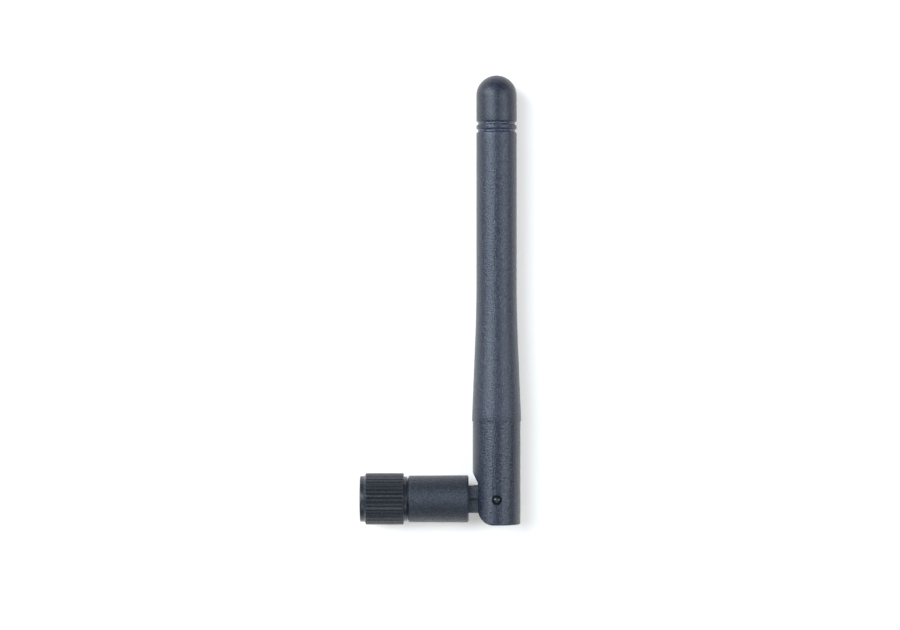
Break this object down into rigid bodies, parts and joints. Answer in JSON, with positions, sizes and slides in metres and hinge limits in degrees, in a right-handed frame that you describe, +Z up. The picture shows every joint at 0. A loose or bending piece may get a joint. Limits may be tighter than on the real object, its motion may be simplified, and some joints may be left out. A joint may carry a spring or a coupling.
{
  "type": "omnidirectional antenna",
  "caption": "Black tilting whip antenna: ribbed screw-on coaxial nut, short round barrel, pinned right-angle hinge and a flared round whip with shallow rings below its domed tip",
  "frame": {"origin": "on the plug's axis, in the plane of the plug's front face, where it meets its socket", "axes": "-X out of the nut's mouth, +Y along the whip at rest, +Z up from the table it lies on"},
  "size_m": [0.0311, 0.0865, 0.0098],
  "materials": {
    "radome_plastic": "fine moulded grain",
    "foot_plastic": "fine moulded grain",
    "barrel_plastic": "fine moulded grain",
    "knuckle_plastic": "smooth, faint sheen",
    "grip_plastic": "satin to glossy moulded",
    "pin_steel": "blackened, polished dome",
    "nut_brass": "thin gold plating over turned brass",
    "contact_gold": "gold plating",
    "spring_bronze": "plain spring bronze",
    "gasket_rubber": "soft silicone",
    "ptfe": "waxy white",
    "jacket_plastic": "extruded cable jacket",
    "braid_wire": "woven silver-plated wire",
    "conductor_wire": "bare copper wire",
    "radiator_brass": "drawn brass tube",
    "shrink_plastic": "heat-shrunk sleeve",
    "bush_plastic": "soft natural polyethylene",
    "pad_foam": "closed-cell foam"
  },
  "bodies": {
    "plug": {"connector_body": "nut_brass", "connector_dielectric": "ptfe", "centre_contact": "contact_gold", "snap_ring": "spring_bronze", "gasket": "gasket_rubber", "cable_ferrule": "contact_gold", "swivel_barrel": "barrel_plastic", "hinge_knuckle": "knuckle_plastic", "hinge_pins": "pin_steel", "coax_jacket": "jacket_plastic", "coax_braid": "braid_wire", "coax_dielectric": "ptfe", "coax_conductor": "conductor_wire"},
    "nut": {"coupling_nut": "nut_brass", "nut_grip": "grip_plastic"},
    "whip": {"radome_foot": "foot_plastic", "radome_sleeve": "radome_plastic", "dipole_sleeve": "radiator_brass", "sleeve_end_cap": "radiator_brass", "feed_insulator": "ptfe", "upper_radiator": "radiator_brass", "heat_shrink": "shrink_plastic", "lower_bush": "bush_plastic", "upper_bush": "bush_plastic", "tip_pad": "pad_foam"}
  },
  "joints": [
    {"name": "nut_spin", "type": "hinge", "parent": "plug", "child": "nut", "pos_m": [0.001, 0, 0], "axis": [1, 0, 0], "continuous": true},
    {"name": "tilt", "type": "hinge", "parent": "plug", "child": "whip", "pos_m": [0.0227, 0, 0], "axis": [0, 0, -1], "range_deg": [0, 90], "deforming": ["coax_jacket", "coax_braid", "coax_dielectric", "coax_conductor"]}
  ]
}
